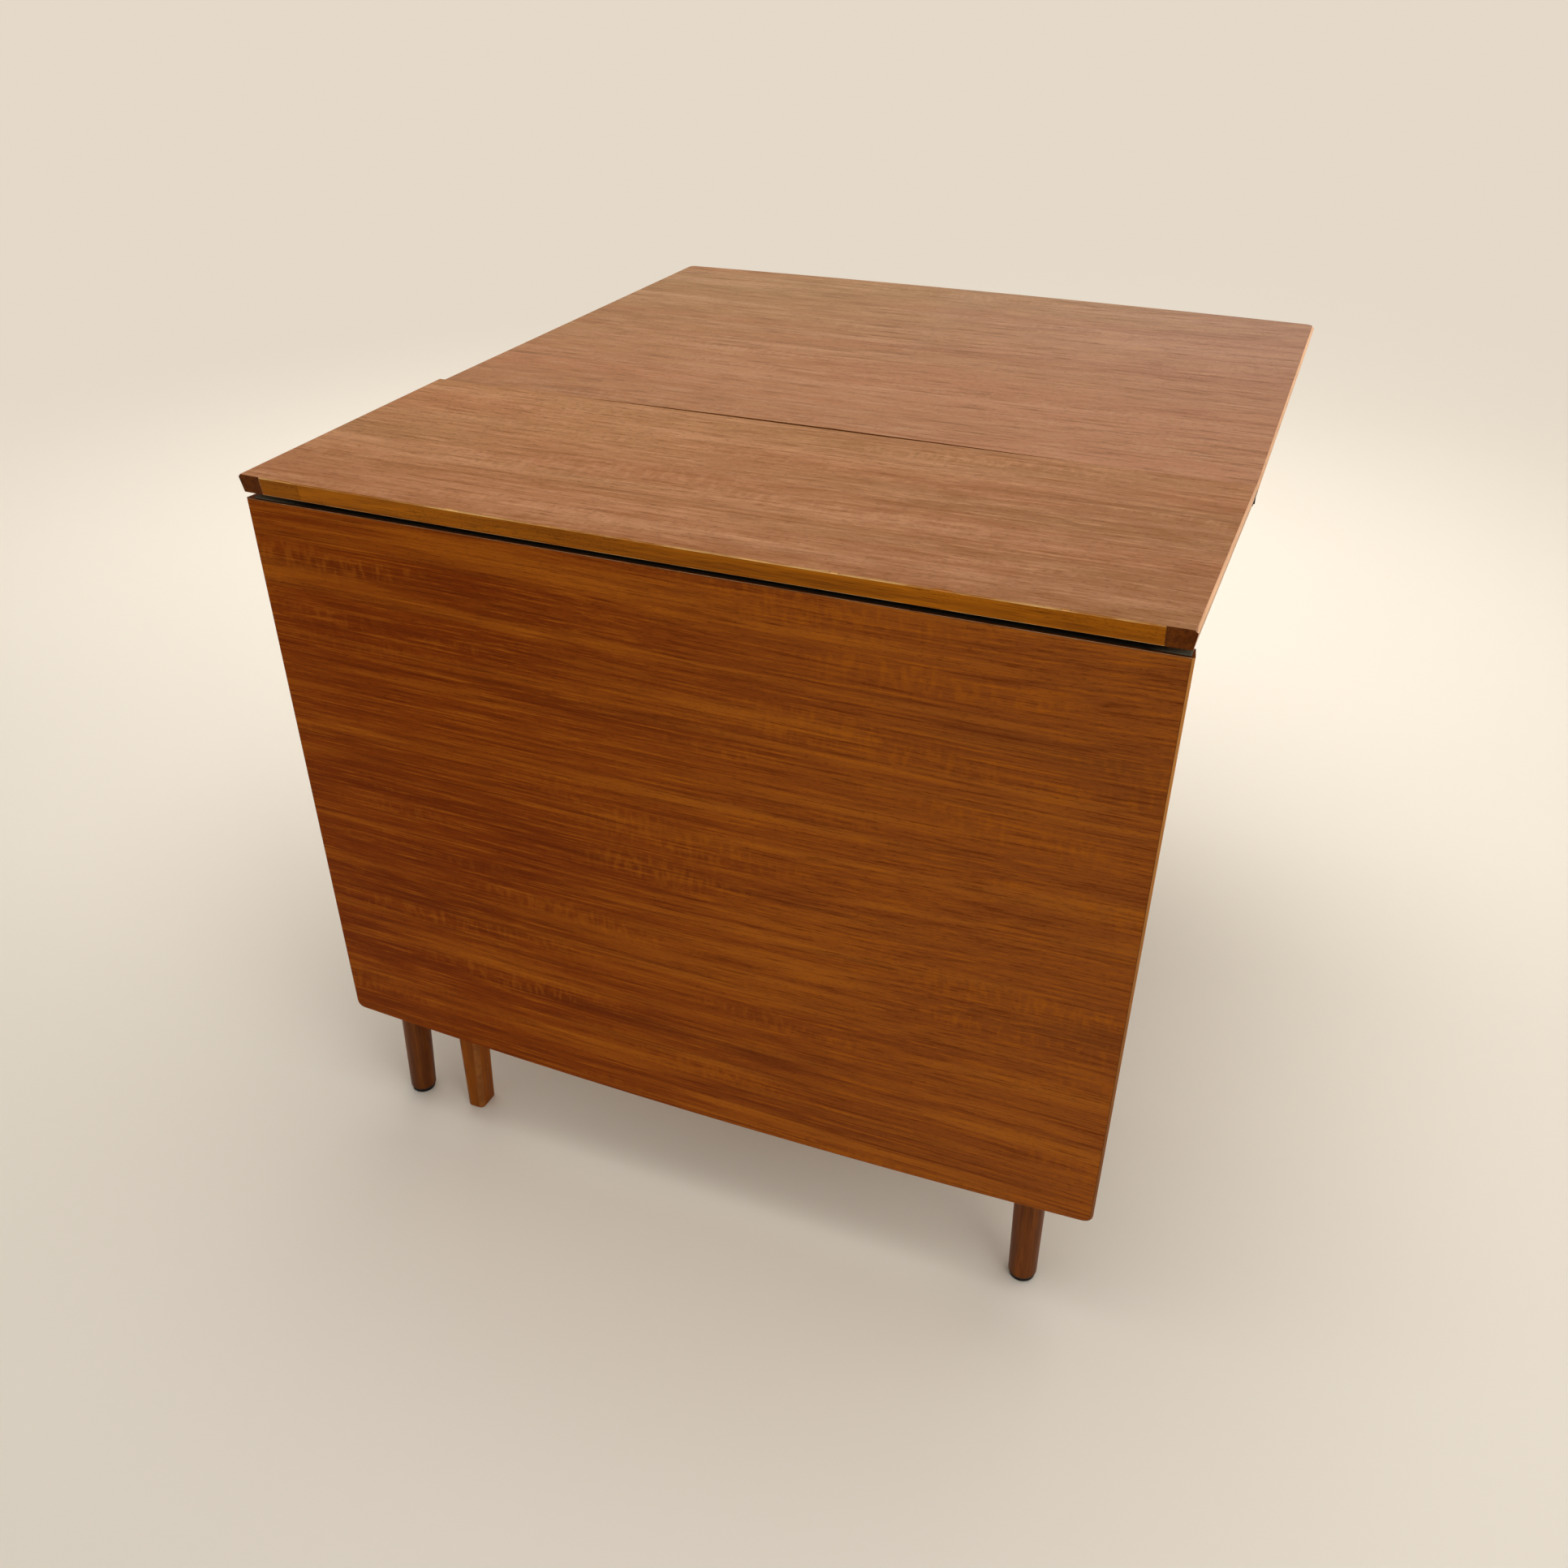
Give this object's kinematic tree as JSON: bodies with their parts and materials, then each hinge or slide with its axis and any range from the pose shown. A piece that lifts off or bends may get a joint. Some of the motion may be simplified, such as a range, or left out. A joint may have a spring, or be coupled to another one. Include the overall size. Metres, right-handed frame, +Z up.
{
  "type": "drop-leaf dining table",
  "caption": "Teak drop-leaf dining table on round tapered legs, with hinged leaves held up by swinging gate legs; one leaf hangs and the other is raised.",
  "frame": {"origin": "on the floor, below the middle of the whole table with one leaf hanging and one raised", "axes": "+X along the hinged edges to the right of the picture, +Y from the hanging leaf to the raised leaf, +Z up"},
  "size_m": [0.838, 0.9098, 0.735],
  "materials": {
    "teak_veneer": "oiled teak veneer, satin",
    "teak_solid": "oiled solid teak, satin",
    "edge_wood": "golden-brown solid edging, worn",
    "leg_wood": "dark stained, satin",
    "gate_wood": "warm brown, satin",
    "frame_wood": "plain planed wood",
    "hinge_steel": "dull steel",
    "glide_plastic": "black",
    "edge_felt": "grey-green strip"
  },
  "bodies": {
    "table_frame": {"corner_block_far_left": "frame_wood", "corner_block_far_right": "frame_wood", "corner_block_near_left": "frame_wood", "corner_block_near_right": "frame_wood", "far_gate_block": "gate_wood", "far_gate_pin": "hinge_steel", "far_hinge_pin_left": "hinge_steel", "far_hinge_pin_right": "hinge_steel", "far_hinge_plate_left": "hinge_steel", "far_hinge_plate_right": "hinge_steel", "glide_far_left": "glide_plastic", "glide_far_right": "glide_plastic", "glide_near_left": "glide_plastic", "glide_near_right": "glide_plastic", "leg_bolt_far_left": "hinge_steel", "leg_bolt_far_right": "hinge_steel", "leg_bolt_near_left": "hinge_steel", "leg_bolt_near_right": "hinge_steel", "leg_far_left": "leg_wood", "leg_far_right": "leg_wood", "leg_near_left": "leg_wood", "leg_near_right": "leg_wood", "near_gate_block": "gate_wood", "near_gate_pin": "hinge_steel", "near_hinge_pin_left": "hinge_steel", "near_hinge_pin_right": "hinge_steel", "near_hinge_plate_left": "hinge_steel", "near_hinge_plate_right": "hinge_steel", "rail_far": "frame_wood", "rail_left": "frame_wood", "rail_near": "frame_wood", "rail_right": "frame_wood", "top_core": "teak_veneer", "top_lipping_far": "edge_wood", "top_lipping_left": "teak_solid", "top_lipping_near": "edge_wood", "top_lipping_right": "teak_solid"},
    "near_leaf": {"near_gate_stop": "gate_wood", "near_hinge_strap_left": "hinge_steel", "near_hinge_strap_right": "hinge_steel", "near_leaf_core": "teak_veneer", "near_leaf_edge_strip": "edge_felt", "near_leaf_lipping_front": "teak_solid", "near_leaf_lipping_left": "teak_solid", "near_leaf_lipping_right": "teak_solid"},
    "far_leaf": {"far_gate_stop": "gate_wood", "far_hinge_strap_left": "hinge_steel", "far_hinge_strap_right": "hinge_steel", "far_leaf_core": "teak_veneer", "far_leaf_edge_strip": "edge_felt", "far_leaf_lipping_front": "teak_solid", "far_leaf_lipping_left": "teak_solid", "far_leaf_lipping_right": "teak_solid"},
    "near_gate": {"near_gate_arm": "gate_wood", "near_gate_leg": "gate_wood", "near_gate_peg": "gate_wood"},
    "far_gate": {"far_gate_arm": "gate_wood", "far_gate_leg": "gate_wood", "far_gate_peg": "gate_wood"}
  },
  "joints": [
    {"name": "near_leaf_hinge", "type": "hinge", "parent": "table_frame", "child": "near_leaf", "pos_m": [0, -0.4444, 0.7245], "axis": [-1, 0, 0], "range_deg": [0, 90]},
    {"name": "far_leaf_hinge", "type": "hinge", "parent": "table_frame", "child": "far_leaf", "pos_m": [0, -0.1534, 0.7245], "axis": [1, 0, 0], "range_deg": [0, 5]},
    {"name": "near_gate_swing", "type": "hinge", "parent": "table_frame", "child": "near_gate", "pos_m": [0.1, -0.4144, 0.692], "axis": [0, 0, 1], "range_deg": [0, 0.9]},
    {"name": "far_gate_swing", "type": "hinge", "parent": "table_frame", "child": "far_gate", "pos_m": [-0.1, -0.1834, 0.692], "axis": [0, 0, 1], "range_deg": [-90, 0]}
  ]
}
